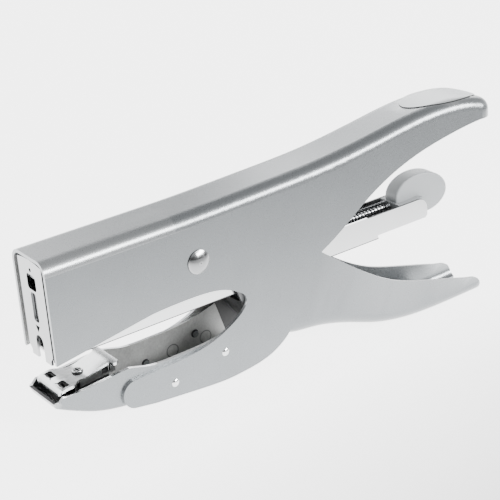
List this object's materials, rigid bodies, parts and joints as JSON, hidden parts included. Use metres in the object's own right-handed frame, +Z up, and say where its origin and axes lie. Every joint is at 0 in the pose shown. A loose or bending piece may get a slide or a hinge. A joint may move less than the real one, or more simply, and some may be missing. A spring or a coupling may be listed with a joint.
{
  "type": "plier stapler",
  "caption": "Hand-held plier stapler with a pressed metal body, hinged lower handle, swinging magazine, driver, anvil and pull-out loading slide",
  "frame": {"origin": "middle of the stapler's length and width, on the table under its two bellies", "axes": "+X from the head to the ends of the handles, +Y to the far side, +Z up"},
  "size_m": [0.1976, 0.0254, 0.0857],
  "materials": {
    "silver_paint": "satin light silver, fine grain",
    "anvil_steel": "bright nickel plating with soft scratches",
    "chrome": "polished chrome plating",
    "spring_steel": "dark drawn wire",
    "bare_steel": "brushed and lightly oiled",
    "grey_plastic": "fine-textured mid grey",
    "pale_plastic": "smooth pale silver inlay"
  },
  "bodies": {
    "body": {"outer_shell": "silver_paint", "handle_cap": "pale_plastic", "main_rivet": "chrome", "spring_bush": "bare_steel", "return_spring": "spring_steel", "anvil_channel": "anvil_steel", "anvil_support": "bare_steel", "anvil_plate": "anvil_steel", "anvil_screw": "chrome", "jaw_rivets": "silver_paint"},
    "lever": {"lower_handle": "silver_paint", "lever_washers": "bare_steel", "driver_pin": "bare_steel", "driver_pin_clips": "bare_steel"},
    "magazine": {"magazine_sheath": "chrome", "nose_plate": "chrome", "staple_rail": "bare_steel", "rail_rivets": "bare_steel", "spring_saddle": "bare_steel", "magazine_spring": "spring_steel"},
    "driver": {"driver_blade": "spring_steel"},
    "slide": {"slide_channel": "chrome", "knob": "grey_plastic", "guide_rod": "bare_steel", "pusher_spring": "spring_steel"},
    "pusher": {"pusher": "bare_steel"}
  },
  "joints": [
    {"name": "lever_hinge", "type": "hinge", "parent": "body", "child": "lever", "pos_m": [-0.03924, 0, 0.0485], "axis": [0, -1, 0], "range_deg": [0, 17.5], "stiffness_Nm_per_rad": 1.2, "springref_deg": -28.65, "deforming": ["return_spring", "magazine_spring"]},
    {"name": "magazine_hinge", "type": "hinge", "parent": "body", "child": "magazine", "pos_m": [-0.03924, 0, 0.0485], "axis": [0, -1, 0], "range_deg": [0, 8.75]},
    {"name": "driver_slide", "type": "slide", "parent": "magazine", "child": "driver", "axis": [0.0889, 0, -0.996], "range_m": [0, 0.0077]},
    {"name": "slide_pull", "type": "slide", "parent": "magazine", "child": "slide", "axis": [0.996, 0, 0.0889], "range_m": [0, 0.06]},
    {"name": "pusher_slide", "type": "slide", "parent": "slide", "child": "pusher", "axis": [0.996, 0, 0.0889], "range_m": [0, 0.045], "stiffness_N_per_m": 10, "springref_m": -0.05, "deforming": ["pusher_spring"]}
  ],
  "couplings": [
    {"joint": "magazine_hinge", "follows": "lever_hinge", "ratio": 0.5},
    {"joint": "driver_slide", "follows": "lever_hinge", "m_per_rad": 0.02518}
  ]
}
